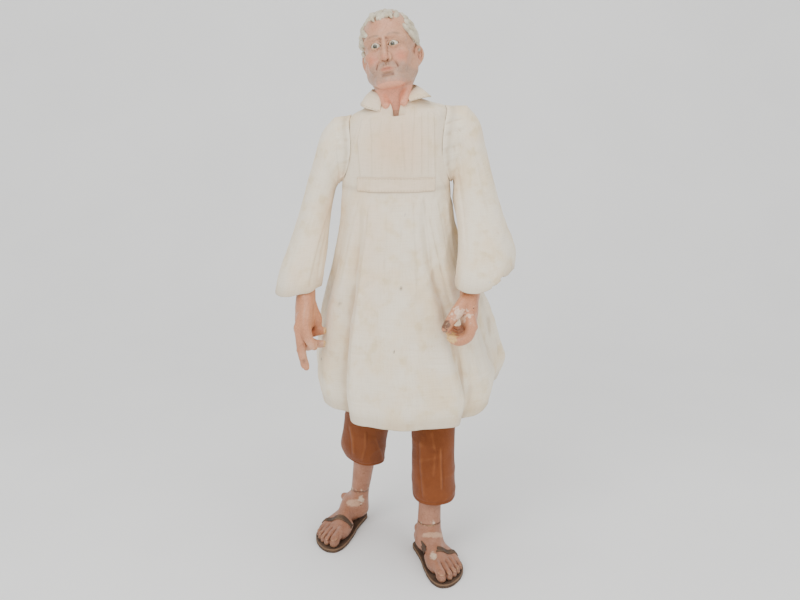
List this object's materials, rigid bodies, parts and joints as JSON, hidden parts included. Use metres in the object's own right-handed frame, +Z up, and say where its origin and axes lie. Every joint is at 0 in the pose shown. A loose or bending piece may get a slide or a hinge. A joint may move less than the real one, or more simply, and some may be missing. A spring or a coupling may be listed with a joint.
{
  "type": "carved wooden figure",
  "caption": "Standing carved and painted wooden figure in a pleated linen smock, brown breeches and leather sandals, the left hand closed round an empty grip.",
  "frame": {"origin": "on the floor, under the middle of the figure's box", "axes": "+Z up along the figure, which faces -Y and has its right side towards -X"},
  "size_m": [0.4404, 0.313, 1.0443],
  "materials": {
    "painted_wood_head": "flesh-coloured oil paint on carved wood, satin, with rosy cheeks, painted stubble and worm holes",
    "painted_wood_hands": "flesh-coloured oil paint on carved wood, satin, flaked to bare wood at the left fingers",
    "painted_wood_feet": "darkened flesh-coloured oil paint, worn, with pale traces of lost straps",
    "eye_glass": "polished glass, painted behind, so not see-through",
    "sandal_leather": "old dark brown leather, dull, worn at the edges",
    "smock_linen": "cream linen in plain weave, aged and faintly stained",
    "breeches_wool": "brown woollen cloth, matt"
  },
  "bodies": {
    "root": {"head_and_torso": "painted_wood_head", "right_eye": "eye_glass", "left_eye": "eye_glass", "right_arm": "painted_wood_hands", "left_arm": "painted_wood_hands", "right_leg": "painted_wood_feet", "left_leg": "painted_wood_feet", "right_foot": "painted_wood_feet", "left_foot": "painted_wood_feet", "right_sandal_sole": "sandal_leather", "left_sandal_sole": "sandal_leather", "right_forefoot_strap": "sandal_leather", "left_forefoot_strap": "sandal_leather", "left_heel_strap_remnant": "sandal_leather", "smock_body": "smock_linen", "smock_waistband": "smock_linen", "smock_collar": "smock_linen", "smock_right_sleeve": "smock_linen", "smock_left_sleeve": "smock_linen", "breeches": "breeches_wool"}
  },
  "joints": []
}
